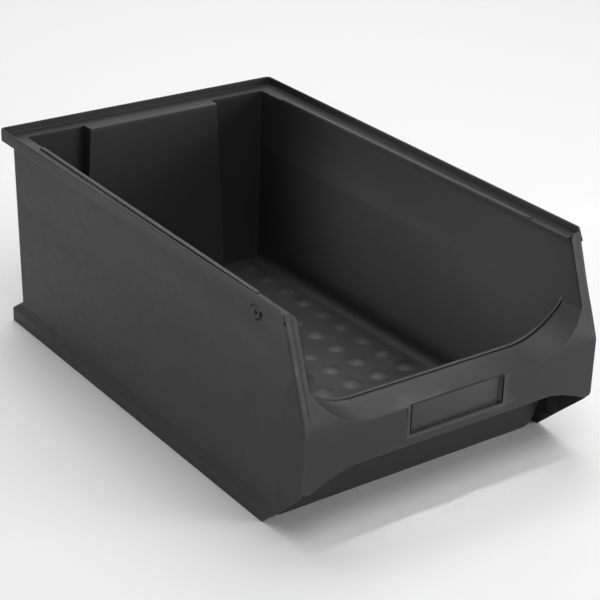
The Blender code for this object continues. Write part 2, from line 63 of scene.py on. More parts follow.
# Driving sizes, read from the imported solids
LOW, HIGH = (Vector(corner) for corner in cad_box)
FRONT_Y = LOW.y
REAR_Y = HIGH.y
SIDE_X = HIGH.x
RIM_TOP = HIGH.z
SKIN = 2.2 * MM
INNER_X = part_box("front_inner_wall")[1].x - 1.1 * MM
INNER_MIDDLE_SHIFT = -1.7 * MM
INNER_DRAFT = 0.0165
REAR_INNER_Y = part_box("rear_foot")[0].y + 12.0 * MM
PANEL_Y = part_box("rear_panel")[0].y
LEDGE_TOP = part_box("right_rim_rib")[0].z - 0.3 * MM
LIP_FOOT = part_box("right_rim")[0].z
RUNNER_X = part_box("right_runner")[1].x
RUNNER_REAR_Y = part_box("right_runner")[1].y
FLOOR_TOP = 3.6 * MM
FLOOR_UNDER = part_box("floor_panel")[0].z
SIDE_COVE = 8.3 * MM
REAR_COVE = 1.6 * MM
REAR_EDGE = 1.9 * MM
FLOOR_EDGE_X = INNER_X - SIDE_COVE - 0.7 * MM
COVE_FOOT = FLOOR_TOP + 0.5 * MM

# Side and rear walls
WALL_FOOT_X = 149.6 * MM
WALL_TOP_X = 152.9 * MM
WALL_FOOT_Z = 23.0 * MM
RUNNER_TOP = 13.2 * MM
PANEL_HALF_FOOT = 84.0 * MM
PANEL_HALF_TOP = 72.0 * MM
PANEL_JOG = 1.2 * MM
WALL_LEVELS = (22.6, 36, 64, 103, 130, 142, 155, 185)
INNER_LEVELS = (187.5, 186.5, 131.0, 130.0, 60.0)
LIP_WIDTH = 2.1 * MM
LIP_SPLIT_X = SIDE_X - 2.15 * MM
LIP_SPLIT_Z = LIP_FOOT - 0.2 * MM

# Shading and bevelling: edges sharper than these stay crisp or get rounded
SHARP_ANGLE = math.radians(32)
BEVELLED_SHARP_ANGLE = math.radians(40)
CRISP_ANGLE = math.radians(38)

# Front
FACE_Y = FRONT_Y + 0.15 * MM
BEND_Z = 109.3 * MM
LEAN = 0.375
FACE_FOOT = 54.0 * MM
PILLAR_GROOVE_X = 148.2 * MM
PILLAR_GROOVE_DEPTH = 0.28 * MM
PILLAR_GROOVE_HALF = 0.55 * MM
PILLAR_TOP_DROP = 4.6 * MM
PILLAR_TOP_RUN = 4.5 * MM
RISE_FOOT_Y = -193.0 * MM
FRONT_WALL_FOOT_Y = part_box("front_inner_wall")[1].y - SKIN
FRONT_WALL_LEAN = 0.221
WALL_TOP_Y = -215.4 * MM
SILL_INNER_Y = -217.7 * MM
SKIN_SIDE_X = INNER_X + 2.9 * MM
FRONT_SKIN = 1.8 * MM
SLIT = 2.0 * MM
SLIT_FOOT = 190.0 * MM
BEAD = (107.2 * MM, 82.0 * MM, 74.5 * MM)
BEAD_STEPS = 6
GROOVE_DEPTH = 6.0 * MM
WALL_CORNER = 11.0 * MM
SILL_INNER = (105.9 * MM, 82.0 * MM, 74.5 * MM)
SILL_OUTER = (102.9 * MM, 84.0 * MM, 67.0 * MM)
ARCH_TOP = 67.5 * MM
ARCH_HALF = 100.0 * MM
ARCH_END = 145.0 * MM
CORNER_RADIUS = 4.0 * MM
CHEEK_REACH = 9.0 * MM
BEHIND_LIP_Z = 180.0 * MM

# Label pocket
LABEL_HALF = 49.5 * MM
LABEL_FOOT = 77.0 * MM
LABEL_RIM = 3.5 * MM
LABEL_DEPTH = 3.0 * MM
LABEL_SLOT = 4.0 * MM

# Bosses
BOSS_Y = -180.5 * MM
BOSS_Z = 184.8 * MM
BOSS_RADIUS = 7.2 * MM
BOSS_RING = 1.7 * MM
BOSS_HOLE = 1.7 * MM

# Rim ribs
RIB_WIDTH = 4.2 * MM
RIB_HEIGHT = 1.5 * MM
RIB_FRONT_Y = -167.0 * MM
RIB_REAR_Y = 198.0 * MM

# Floor studs
STUD_RADIUS = 10.4 * MM
STUD_HEIGHT = 2.8 * MM
STUD_SIDES = 28
STUD_PITCH_X = 32.3 * MM
STUD_PITCH_Y = 32.9 * MM
STUD_COLUMNS = 8
STUD_ROWS = 13
STUD_FRONT_Y = -179.6 * MM

# The studio
WORLD_LIGHT = 0.28
STUDIO_LIGHTS = (
    # name, place, aim, (width, height), watts, spread in degrees
    ("overhead", (0.3, 0.6, 2.3), (0.0, 0.0, 0.0), (1.8, 1.8), 25.0, 180),
    ("front_top", (-0.2, -1.1, 2.2), (0.0, 0.0, 0.05), (1.5, 1.0), 15.0, 180),
    ("rear", (1.7, 2.3, 1.5), (0.0, 0.0, 0.08), (2.6, 1.6), 16.0, 180),
    ("front_right", (1.7, -2.4, 0.7), (0.0, 0.0, 0.08), (1.4, 1.0), 36.0, 180),
    ("inside_top", (0.0, -0.02, 1.5), (0.0, -0.02, 0.0), (0.2, 0.42), 0.28, 6),
    ("inside_left", (-1.02, -0.05, 0.80), (0.0, -0.05, 0.2), (0.36, 0.14), 0.18, 8),
)

# The photographed viewpoint
CAMERA_PLACE = Vector((-0.8426, -1.1721, 0.7744))
CAMERA_YAW = math.radians(36.39)
CAMERA_PITCH = math.radians(25.59)
CAMERA_ROLL = math.radians(2.0)
CAMERA_LENS = 104.6


def clamped(value, low, high):
    """How far a value lies from low to high, kept between 0 and 1."""
    return min(1.0, max(0.0, (value - low) / (high - low)))


def smooth_step(value, low, high):
    share = clamped(value, low, high)
    return share * share * (3 - 2 * share)


def arc(centre, radius, start, end, steps):
    points = []
    for i in range(steps + 1):
        angle = math.radians(start + (end - start) * i / steps)
        points.append((centre[0] + radius * math.cos(angle), centre[1] + radius * math.sin(angle)))
    return points


def rounded(corners, steps=4):
    """A closed outline of (u, v, radius) corners, each filleted. Gives [(point, corner index)]."""
    points = []
    count = len(corners)
    for i, (u, v, radius) in enumerate(corners):
        here = Vector((u, v))
        if radius == 0:
            points.append((here, i))
            continue
        before = Vector(corners[i - 1][:2]) - here
        after = Vector(corners[(i + 1) % count][:2]) - here
        angle = before.angle(after)
        reach = radius / math.tan(angle / 2)
        reach = min(reach, before.length * 0.49, after.length * 0.49)
        start = here + before.normalized() * reach
        end = here + after.normalized() * reach
        for k in range(steps + 1):
            t = k / steps
            points.append((start * (1 - t) ** 2 + here * 2 * t * (1 - t) + end * t * t, i))
    return points


def mesh_object(name, work, normals=True):
    if normals:
        bmesh.ops.recalc_face_normals(work, faces=work.faces)
    mesh = bpy.data.meshes.new(name)
    work.to_mesh(mesh)
    work.free()
    obj = bpy.data.objects.new(name, mesh)
    bpy.context.scene.collection.objects.link(obj)
    mesh.shade_smooth()
    mesh.set_sharp_from_angle(angle=SHARP_ANGLE)
    return obj


def panel_half(z):
    return PANEL_HALF_FOOT + (PANEL_HALF_TOP - PANEL_HALF_FOOT) * z / LEDGE_TOP


def wall_x(z):
    """Outer face of the side wall."""
    share = (z - WALL_FOOT_Z) / (LIP_FOOT - WALL_FOOT_Z)
    return WALL_FOOT_X + (WALL_TOP_X - WALL_FOOT_X) * share


def inner_shift(y):
    """The inner walls draw in towards the rear. This is how far they stand from INNER_X."""
    return INNER_MIDDLE_SHIFT - INNER_DRAFT * y


def rise_z(y):
    """Lower edge of the front corners."""
    return (RISE_FOOT_Y - y) / (RISE_FOOT_Y - FRONT_Y) * FACE_FOOT


def rise_y(z):
    return RISE_FOOT_Y + (FRONT_Y - RISE_FOOT_Y) * z / FACE_FOOT


def skin_y(x, z):
    """The front skin: a vertical face that bends back into the sloping pillars."""
    width = (1.0 + 5.0 * smooth_step(SIDE_X - abs(x), 2 * MM, 38 * MM)) * MM
    t = (z - BEND_Z) / width
    lifted = t if t > 30 else math.log1p(math.exp(t))
    return FACE_Y + LEAN * width * lifted


def table(points, z):
    """Straight-line look-up in a list of (z, value) pairs in millimetres."""
    return float(np.interp(z / MM, [p[0] for p in points], [p[1] for p in points])) * MM


# (z, value) in millimetres: where the front corner starts to flare, and its outer edge
CREASE_Y = [(14, -208.5), (36, -209), (64, -210.5), (103, -216), (130, -218), (142, -228)]
CORNER_X = [(54, 153.8), (108, 153.2), (125, 153.5), (142, 153.8), (196.5, 154.8)]


def corner_x(z):
    return table(CORNER_X, z)


def crease_y(z):
    return max(table(CREASE_Y, z), skin_y(SIDE_X, z) + 4 * MM)


def u_curve(spec, x):
    """Height of a U-shaped edge of the front opening: flat in the middle, an arc at each side."""
    base, flat, radius = spec
    reach = min(max(0.0, abs(x) - flat), radius * 0.999)
    return base + radius - math.sqrt(radius ** 2 - reach ** 2)


def arch_z(x):
    """Lower edge of the front face."""
    share = clamped(abs(x), ARCH_HALF, ARCH_END)
    height = ARCH_TOP - (ARCH_TOP - FACE_FOOT) * share ** 1.6
    corner = abs(x) - (CORNER_X[0][1] * MM - CORNER_RADIUS)
    if corner > 0:
        corner = min(corner, CORNER_RADIUS)
        height += CORNER_RADIUS - math.sqrt(CORNER_RADIUS ** 2 - corner ** 2)
    return height


def ring_sweep(work, profile, arc_steps=8):
    """A section carried along the left side, round the rear and along the right side.

    Each profile point is (half_x, z_side, rear_y, z_rear, corner_radius, kind, front_y).
    Returns one row of vertices for each profile point.
    """
    rows = []
    for half_x, z_side, rear_y, z_rear, radius, kind, front_y in profile:
        right = [(half_x, front_y, z_side)]
        centre = (half_x - radius, rear_y - radius)
        for i, (x, y) in enumerate(arc(centre, radius, 0.0, 90.0, arc_steps)):
            share = smooth_step(i / arc_steps, 0.0, 1.0)
            right.append((x, y, z_side + (z_rear - z_side) * share))
        if kind == "inner":
            right = [(x + inner_shift(y), y, z) for x, y, z in right]
        edge = panel_half(z_rear)
        step = 0.0 if kind == "plain" else REAR_INNER_Y - PANEL_Y
        right.append((edge + PANEL_JOG, rear_y, z_rear))
        right.append((edge, rear_y - step, z_rear))
        path = [(-x, y, z) for x, y, z in right] + list(reversed(right))
        rows.append([work.verts.new(point) for point in path])
    return rows


def shell_profile():
    """The section of side and rear walls, from the runner's foot up over the rim and down inside."""
    runner = 2.5 * MM
    corner = 13.6 * MM
    lip = 5.5 * MM
    lip_inside = 3.6 * MM
    lip_under = 4 * MM
    inner = 3.5 * MM
    rear_out = REAR_INNER_Y + SKIN
    side = [(RUNNER_X, 0.0, 0.3), (RUNNER_X, RUNNER_TOP, 1.0)]
    rear = [(RUNNER_REAR_Y, 0.0, 0.3), (RUNNER_REAR_Y, RUNNER_TOP, 1.0)]
    kinds = [(runner, "plain"), (runner, "plain")]
    for z in WALL_LEVELS:
        fillet = 1.2 if z == WALL_LEVELS[0] else 0
        side.append((wall_x(z * MM), z * MM, fillet))
        rear.append((rear_out, z * MM, fillet))
        kinds.append((corner, "panel"))
    more = [
        # side x, side z, rear y, rear z, fillet, corner radius, kind
        (WALL_TOP_X, LIP_FOOT + 0.2 * MM, rear_out, LEDGE_TOP - SKIN, 0.6, corner, "panel"),
        (SIDE_X - 1.6 * MM, LIP_FOOT + 0.2 * MM, REAR_Y - 1.6 * MM, LEDGE_TOP - SKIN, 0.4, lip_under,
         "plain"),
        (SIDE_X - 1.4 * MM, LIP_FOOT, REAR_Y - 1.4 * MM, LIP_FOOT, 0.2, lip_under, "plain"),
        (SIDE_X, LIP_FOOT, REAR_Y, LIP_FOOT, 0.6, lip, "plain"),
        (SIDE_X, RIM_TOP, REAR_Y, RIM_TOP, 0.9, lip, "plain"),
        (SIDE_X - LIP_WIDTH, RIM_TOP, REAR_Y - LIP_WIDTH, RIM_TOP, 0.9, lip_inside, "plain"),
        (SIDE_X - LIP_WIDTH, LEDGE_TOP, REAR_Y - LIP_WIDTH, LEDGE_TOP, 1.2, lip_inside, "plain"),
        (INNER_X, LEDGE_TOP, REAR_INNER_Y, LEDGE_TOP, 0.8, inner, "inner"),
    ]
    for x, z, y, z_rear, fillet, radius, kind in more:
        side.append((x, z, fillet))
        rear.append((y, z_rear, fillet))
        kinds.append((radius, kind))
    for z in INNER_LEVELS:
        side.append((INNER_X, z * MM, 0))
        rear.append((REAR_INNER_Y, z * MM, 0))
        kinds.append((inner, "inner"))
    cove = arc((INNER_X - SIDE_COVE, COVE_FOOT + SIDE_COVE), SIDE_COVE, 0.0, -90.0, 6)
    rear_cove = arc((REAR_INNER_Y - REAR_COVE, FLOOR_TOP + REAR_COVE), REAR_COVE, 0.0, -90.0, 6)
    for (x, z), (y, z_rear) in zip(cove, rear_cove):
        side.append((x, z, 0))
        rear.append((y, z_rear, 0))
        kinds.append((inner, "inner"))
    more = [
        (FLOOR_EDGE_X, FLOOR_TOP, REAR_INNER_Y - REAR_EDGE, FLOOR_TOP, inner, "inner"),
        (FLOOR_EDGE_X, FLOOR_UNDER, REAR_INNER_Y - REAR_EDGE, FLOOR_UNDER, inner, "inner"),
        (INNER_X - 7 * MM, FLOOR_UNDER + 1.2 * MM, rear_out - 0.6 * MM, FLOOR_UNDER, inner, "inner"),
        (INNER_X - MM, FLOOR_UNDER + 4.5 * MM, rear_out - 0.3 * MM, FLOOR_UNDER, inner, "inner"),
        (INNER_X + SKIN, FLOOR_UNDER + 11 * MM, rear_out, FLOOR_UNDER, inner, "inner"),
        (INNER_X + SKIN, LEDGE_TOP - SKIN, rear_out + 0.01 * MM, 19.8 * MM, inner, "inner"),
        (WALL_TOP_X - SKIN, LEDGE_TOP - SKIN, rear_out + 0.1 * MM, 19.8 * MM, corner - SKIN, "panel"),
        (WALL_FOOT_X - SKIN, 22.0 * MM, rear_out + 0.2 * MM, 19.7 * MM, corner - SKIN, "panel"),
        (RUNNER_X - SKIN, RUNNER_TOP - MM, RUNNER_REAR_Y - SKIN, RUNNER_TOP - MM, MM, "plain"),
        (RUNNER_X - SKIN, 0.0, RUNNER_REAR_Y - SKIN, 0.0, MM, "plain"),
    ]
    for x, z, y, z_rear, radius, kind in more:
        side.append((x, z, 0))
        rear.append((y, z_rear, 0))
        kinds.append((radius, kind))
    return side, rear, kinds


def shell_front_y(x, z):
    """Where each line of the section ends at the front."""
    if x > LIP_SPLIT_X and z > LIP_SPLIT_Z:
        nose = max(0.0, z - 197 * MM) / (3 * MM)
        return skin_y(SIDE_X, z) + (0.4 + 3.0 * nose ** 2) * MM
    if z > LIP_SPLIT_Z:
        return tray_front_y(z)
    if x > INNER_X + 3.5 * MM:
        if z < WALL_FOOT_Z:
            return rise_y(z)
        hidden = crease_y(z) - CHEEK_REACH
        if z > BEHIND_LIP_Z:
            return skin_y(x, z) + 1.2 * MM
        return max(hidden, rise_y(z) + MM, skin_y(x, z) + 1.2 * MM)
    if z > SLIT_FOOT:
        return tray_front_y(z)
    if z > 130.5 * MM:
        return skin_y(INNER_X, z) + 0.35 * MM
    return front_wall_y(z) + 1.1 * MM


def tray_front_y(z):
    """Front end of the rim's tray, behind the narrow slit at the top of the pillar."""
    return skin_y(SIDE_X, z) + FRONT_SKIN * math.hypot(1.0, LEAN) + SLIT


def front_wall_y(z):
    """Outer face of the leaning wall behind the sill, which stands upright in its wings."""
    return max(FRONT_WALL_FOOT_Y - FRONT_WALL_LEAN * z, WALL_TOP_Y)


def fill(work, loops, axes):
    """Closes a region bounded by loops of vertices, the first one outside and the rest holes."""
    flat = [[Vector((v.co[axes[0]] / MM, v.co[axes[1]] / MM, 0.0)) for v in loop] for loop in loops]
    points = [v for loop in loops for v in loop]
    for corners in tessellate_polygon(flat):
        work.faces.new([points[i] for i in corners])


def add_stud(work, x, y):
    """A soft low dome. Its outer ring lies flat in the floor, which is filled around it."""
    rings = []
    for share in (1.04, 1.0, 0.93, 0.84, 0.72, 0.56, 0.38, 0.18):
        radius = STUD_RADIUS * share
        z = FLOOR_TOP + STUD_HEIGHT * max(0.0, 1 - share ** 2) ** 1.35
        circle = arc((x, y), radius, 0.0, 360.0, STUD_SIDES)[:-1]
        rings.append([work.verts.new((a, b, z)) for a, b in circle])
    for outer, inner in zip(rings, rings[1:]):
        for i in range(STUD_SIDES):
            j = (i + 1) % STUD_SIDES
            work.faces.new((outer[i], outer[j], inner[j], inner[i]))
    work.faces.new(rings[-1])
    return rings[0]


# The last points of the section, from the floor's edge on, are its hidden underside
UNDERSIDE_POINTS = 10


def build_shell():
    """Side walls, rear wall, rim, runners and floor as one closed skin."""
    work = bmesh.new()
    side, rear, kinds = shell_profile()
    side_line = rounded([(u, v, r * MM) for u, v, r in side])
    rear_line = rounded([(u, v, r * MM) for u, v, r in rear])
    profile = []
    for (s, corner), (r, _) in zip(side_line, rear_line):
        radius, kind = kinds[corner]
        profile.append((s.x, s.y, r.x, r.y, radius, kind, shell_front_y(s.x, s.y)))
    rows = ring_sweep(work, profile)
    count = len(rows)
    corners = [corner for _, corner in side_line]
    top = corners.index(len(side) - UNDERSIDE_POINTS)
    under = top + 1
    for i in range(count):
        j = (i + 1) % count
        if i == top:
            continue
        for k in range(len(rows[0]) - 1):
            work.faces.new((rows[i][k], rows[j][k], rows[j][k + 1], rows[i][k + 1]))
    studs = []
    last_y = PANEL_Y - REAR_EDGE - STUD_RADIUS * 1.1 - 0.2 * MM
    for column in range(STUD_COLUMNS):
        x = (column - (STUD_COLUMNS - 1) / 2) * STUD_PITCH_X
        for row in range(STUD_ROWS):
            y = STUD_FRONT_Y + row * STUD_PITCH_Y
            if abs(x) < PANEL_HALF_FOOT:
                y = min(y, last_y)
            studs.append(add_stud(work, x, y))
    fill(work, [rows[top]] + studs, (0, 1))
    fill(work, [rows[under]], (0, 1))
    work.faces.new((rows[top][0], rows[top][-1], rows[under][-1], rows[under][0]))
    for end in (0, -1):
        fill(work, [[row[end] for row in rows]], (0, 2))
    return mesh_object("crate_shell", work)


LABEL_SHARE = (LABEL_FOOT - ARCH_TOP) / (SILL_OUTER[0] - ARCH_TOP)

# Columns of the front skin from the middle out, and its rows as shares of the height below the sill
SKIN_COLUMNS = (0, 25, 49.5, 60, 70, 78, 82, 85, 88, 92, 96, 100, 105, 110, 115, 120, 124, 128, 132,
                135, 137.5, 139.7)
PILLAR_COLUMNS = (143.2, 144, 145, 146.4, 147.6, 148.2, 148.8, 150.5, 152.3)
CHEEK_SHARES = (0.0, 0.12, 0.3, 0.5, 0.68, 0.82, 1.0)
SKIN_ROWS = (0, 0.04, 0.08, 0.14, LABEL_SHARE, 0.36, 0.46, 0.54, 0.59, 0.62, 0.645, 0.665, 0.69,
             0.72, 0.76, 0.82, 0.88, 0.94, 1)
PILLAR_ROWS = (150, 156, 163, 170, 177, 182, 187.4, 188.4, 192, 196.5)


def pillar_groove(x):
    """Depth of the shallow groove that runs up each pillar."""
    return PILLAR_GROOVE_DEPTH * math.exp(-((x - PILLAR_GROOVE_X) / PILLAR_GROOVE_HALF) ** 2)


def skin_top(x):
    return u_curve(SILL_OUTER, min(x, SKIN_SIDE_X))


def skin_column(place):
    """Points of one upright column of the front skin. place is ("face", x) or ("cheek", share)."""
    kind, value = place
    tops = [z * MM for z in PILLAR_ROWS] if kind == "cheek" or value >= SKIN_SIDE_X else []
    top = skin_top(value) if kind == "face" else skin_top(SIDE_X)

    def point(z):
        if kind == "face":
            groove = pillar_groove(value) * smooth_step(z, 108 * MM, 122 * MM)
            return (value, skin_y(value, z) + groove, z)
        front = skin_y(SIDE_X, z)
        crease = crease_y(z)
        if z < BEHIND_LIP_Z:
            end = crease + CHEEK_REACH
        else:
            end = front + (CHEEK_REACH if z < LIP_SPLIT_Z else 2.6 * MM)
        y = front + (end - front) * value
        flare = (corner_x(z) - wall_x(z)) * (crease - y) / (crease - FRONT_Y)
        edge = 0.5 * MM
        turn = edge * (1 - smooth_step(y - front, 0.0, 2 * edge)) ** 2 * 0.6
        return (wall_x(z) + flare - turn, y, z)

    if kind == "face":
        foot = arch_z(value)
    else:
        foot = FACE_FOOT
        for _ in range(30):
            foot = rise_z(point(foot)[1])
        inward = min(point(foot)[1] - FRONT_Y, CORNER_RADIUS)
        foot += CORNER_RADIUS - math.sqrt(CORNER_RADIUS ** 2 - (CORNER_RADIUS - inward) ** 2)
    levels = [foot + (top - foot) * share for share in SKIN_ROWS] + tops
    if tops and kind == "face":
        share_out = smooth_step(value, SKIN_SIDE_X, SKIN_SIDE_X + PILLAR_TOP_RUN)
        drop = PILLAR_TOP_DROP * (1 - share_out)
        levels = levels[:-2] + [z - drop * share for z, share in zip(levels[-2:], (0.5, 1.0))]
    return [point(z) for z in levels]


def build_front_skin():
    """The vertical front face, its sill, the sloping pillars and the flared front corners."""
    work = bmesh.new()
    places = [("face", x * MM) for x in SKIN_COLUMNS]
    places += [("face", SKIN_SIDE_X)]
    places += [("face", x * MM) for x in PILLAR_COLUMNS]
    places += [("cheek", share) for share in CHEEK_SHARES]
    half = [skin_column(place) for place in places]
    columns = [[(-x, y, z) for x, y, z in points] for points in reversed(half[1:])] + half
    grid = [[work.verts.new(p) for p in points] for points in columns]
    for a, b in zip(grid, grid[1:]):
        for i in range(min(len(a), len(b)) - 1):
            work.faces.new((a[i], b[i], b[i + 1], a[i + 1]))
    sill = []
    last = len(SKIN_ROWS) - 1
    for column in grid:
        edge = column[last]
        x = edge.co.x
        if abs(x) > SKIN_SIDE_X + 0.01 * MM:
            continue
        inner = Vector((x, SILL_INNER_Y, u_curve(SILL_INNER, x)))
        outer = edge.co.copy()
        notch = LABEL_DEPTH / (SILL_INNER_Y - FACE_Y)
        sill.append([edge] + [work.verts.new(outer.lerp(inner, t)) for t in (notch, 0.35, 0.7, 1.0)])
    for a, b in zip(sill, sill[1:]):
        for i in range(len(a) - 1):
            work.faces.new((a[i], b[i], b[i + 1], a[i + 1]))
    pocket = []
    for face in work.faces:
        middle = face.calc_center_median()
        if abs(middle.x) < LABEL_HALF and middle.z > LABEL_FOOT and middle.y < FACE_Y + LABEL_DEPTH:
            pocket.append(face)
    bmesh.ops.delete(work, geom=pocket, context="FACES")
    bmesh.ops.recalc_face_normals(work, faces=work.faces)
    if min(work.faces, key=lambda f: f.calc_center_median().y).normal.y > 0:
        bmesh.ops.reverse_faces(work, faces=work.faces)
    skin = mesh_object("front_skin", work, normals=False)
    solidify = skin.modifiers.new("thickness", "SOLIDIFY")
    solidify.thickness = FRONT_SKIN
    solidify.offset = -1.0
    solidify.use_even_offset = True
    solidify.use_rim = True
    apply_modifiers(skin)
    round_edges(skin, 0.7 * MM, 3)
    return skin


def box_object(name, low, high):
    work = bmesh.new()
    bmesh.ops.create_cube(work, size=1.0)
    size = [b - a for a, b in zip(low, high)]
    middle = [(a + b) / 2 for a, b in zip(low, high)]
    for vert in work.verts:
        vert.co = Vector([m + c * s for m, c, s in zip(middle, vert.co, size)])
    return mesh_object(name, work)


def apply_modifiers(obj):
    """Replaces an object's mesh by what its modifiers make of it."""
    depsgraph = bpy.context.evaluated_depsgraph_get()
    mesh = bpy.data.meshes.new_from_object(obj.evaluated_get(depsgraph))
    old = obj.data
    obj.modifiers.clear()
    obj.data = mesh
    bpy.data.meshes.remove(old)


def round_edges(obj, width, segments=2):
    """Bevels the crisp edges of a finished mesh."""
    work = bmesh.new()
    work.from_mesh(obj.data)
    bmesh.ops.remove_doubles(work, verts=work.verts, dist=0.005 * MM)
    crisp = []
    for edge in work.edges:
        if len(edge.link_faces) == 2 and edge.calc_face_angle(0.0) > CRISP_ANGLE:
            crisp.append(edge)
    bmesh.ops.bevel(work, geom=crisp, offset=width, offset_type="OFFSET", segments=segments,
                    profile=0.5, affect="EDGES", clamp_overlap=True)
    work.to_mesh(obj.data)
    work.free()
    obj.data.shade_smooth()
    obj.data.set_sharp_from_angle(angle=BEVELLED_SHARP_ANGLE)


def flatten_shading(obj):
    """Keeps flat faces flat next to their rounded edges."""
    even = obj.modifiers.new("even", "WEIGHTED_NORMAL")
    even.keep_sharp = True
    even.weight = 100
    apply_modifiers(obj)


def ruled(name, sections):
    """A closed body through like sections, each a loop of points."""
    work = bmesh.new()
    rings = [[work.verts.new(p) for p in section] for section in sections]
    for a, b in zip(rings, rings[1:]):
        for i in range(len(a)):
            j = (i + 1) % len(a)
            work.faces.new((a[i], a[j], b[j], b[i]))
    work.faces.new(rings[0])
    work.faces.new(list(reversed(rings[-1])))
    return mesh_object(name, work)


def opening_columns(reach):
    """Places across the front opening, close together where the U curves up."""
    half = [x * MM for x in SKIN_COLUMNS if x * MM < reach] + [reach]
    return [-x for x in reversed(half[1:])] + half


def build_front_wall():
    """The leaning wall behind the sill, with its rounded top edge."""
    reach = INNER_X + 3.2 * MM
    sections = []
    for x in opening_columns(reach):
        top = u_curve(BEAD, x)
        bead = SKIN / 2
        section = []
        reach_in = max(0.0, abs(x) - (reach - WALL_CORNER))
        foot = WALL_CORNER - math.sqrt(max(0.0, WALL_CORNER ** 2 - reach_in ** 2))
        for z in (foot, 40 * MM, 80 * MM, 106 * MM):
            level = min(z, top - bead)
            section.append((x, front_wall_y(level), level))
        shoulder = top - bead
        section.append((x, front_wall_y(shoulder), shoulder))
        for i in range(BEAD_STEPS + 1):
            angle = math.pi * i / BEAD_STEPS
            y = front_wall_y(top) + bead - bead * math.cos(angle)
            section.append((x, y, shoulder + bead * math.sin(angle)))
        section.append((x, front_wall_y(shoulder) + SKIN, shoulder))
        for z in (106 * MM, 80 * MM, 40 * MM, foot):
            level = min(z, top - bead)
            section.append((x, front_wall_y(level) + SKIN, level))
        sections.append(section)
    return ruled("front_wall", sections)


def build_groove():
    """The floor of the narrow groove between the bead and the sill."""
    sections = []
    for x in opening_columns(INNER_X + 3 * MM):
        top = u_curve(SILL_INNER, x) - GROOVE_DEPTH
        low = top - 1.2 * MM
        inner = WALL_TOP_Y + MM
        outer = SILL_INNER_Y - MM
        sections.append([(x, inner, top), (x, outer, top), (x, outer, low), (x, inner, low)])
    return ruled("sill_groove", sections)


def build_label_frame():
    """The raised edge around the label pocket's sides and foot, and the ledge under the card."""
    work = bmesh.new()
    sill_z = SILL_OUTER[0] + 0.6 * MM
    inner = [(-LABEL_HALF, sill_z), (-LABEL_HALF, LABEL_FOOT), (LABEL_HALF, LABEL_FOOT),
             (LABEL_HALF, sill_z)]
    rim = LABEL_RIM
    outer = [(-LABEL_HALF - rim, sill_z - 1.2 * MM), (-LABEL_HALF - rim, LABEL_FOOT - rim),
             (LABEL_HALF + rim, LABEL_FOOT - rim), (LABEL_HALF + rim, sill_z - 1.2 * MM)]
    front = [[work.verts.new((x, FRONT_Y, z)) for x, z in line] for line in (inner, outer)]
    back = [[work.verts.new((x, FACE_Y + 1.2 * MM, z)) for x, z in line] for line in (inner, outer)]
    for layer in (front, back):
        for i in range(3):
            work.faces.new((layer[0][i], layer[0][i + 1], layer[1][i + 1], layer[1][i]))
    for line in (0, 1):
        for i in range(3):
            work.faces.new((front[line][i], front[line][i + 1], back[line][i + 1], back[line][i]))
    for end in (0, 3):
        work.faces.new((front[0][end], front[1][end], back[1][end], back[0][end]))
    frame_piece = mesh_object("label_frame", work)
    round_edges(frame_piece, 0.12 * MM, 2)
    flatten_shading(frame_piece)
    return frame_piece


def build_label_back():
    """The pocket's back plate, which leaves a slot at each end, and the foot that carries it."""
    half = LABEL_HALF - LABEL_SLOT
    front = FACE_Y + LABEL_DEPTH
    plate = box_object("label_back", (-half, front + 0.03 * MM, LABEL_FOOT - 5 * MM),
                       (half, front + SKIN, SILL_OUTER[0] - 1.3 * MM))
    round_edges(plate, 0.25 * MM, 2)
    foot = box_object("label_foot", (-LABEL_HALF - MM, FACE_Y + MM, LABEL_FOOT - SKIN),
                      (LABEL_HALF + MM, front + SKIN + MM, LABEL_FOOT - 0.15 * MM))
    round_edges(foot, 0.25 * MM, 2)
    return [plate, foot]


def turned(name, profile, side, steps=48):
    """A closed body turned about the boss's axis from (radius, half_x) points."""
    work = bmesh.new()
    rings = []
    for radius, half_x in profile:
        circle = arc((BOSS_Y, BOSS_Z), radius, 0.0, 360.0, steps)[:-1]
        rings.append([work.verts.new((side * half_x, y, z)) for y, z in circle])
    for a, b in zip(rings, rings[1:]):
        for i in range(steps):
            j = (i + 1) % steps
            work.faces.new((a[i], a[j], b[j], b[i]))
    work.faces.new(rings[0])
    work.faces.new(rings[-1])
    return mesh_object(name, work)


def cut_boss_pocket(shell, side):
    """The round pocket the boss stands in: shallow through the lip, deeper below it in the wall."""
    whole = arc((BOSS_Y, BOSS_Z), BOSS_RADIUS, 0.0, 360.0, 48)[:-1]
    lower = [(y, min(z, LIP_FOOT + 0.3 * MM)) for y, z in whole]
    for outline, floor in ((whole, SIDE_X - 1.5 * MM), (lower, WALL_TOP_X - 1.2 * MM)):
        sections = [[(side * x, y, z) for y, z in outline] for x in (floor, SIDE_X + 3 * MM)]
        cutter = ruled("pocket", sections)
        cut = shell.modifiers.new("pocket", "BOOLEAN")
        cut.operation = "DIFFERENCE"
        cut.solver = "EXACT"
        cut.object = cutter
        apply_modifiers(shell)
        bpy.data.objects.remove(cutter)


def build_boss(side):
    """The boss: a hub with a rounded edge, set in its ring groove, with a blind centre hole."""
    floor = WALL_TOP_X - 1.4 * MM
    face = SIDE_X - 0.9 * MM
    hub = BOSS_RADIUS - BOSS_RING
    hole = BOSS_HOLE
    profile = [(hub, floor), (hub, face - 0.5 * MM), (hub - 0.15 * MM, face - 0.15 * MM),
               (hub - 0.5 * MM, face), (hole + 0.9 * MM, face - 0.1 * MM),
               (hole + 0.3 * MM, face - 0.4 * MM), (hole, face - 0.9 * MM),
               (hole - 0.1 * MM, face - 2.0 * MM)]
    name = "right" if side > 0 else "left"
    return turned(name + "_boss_hub", profile, side)


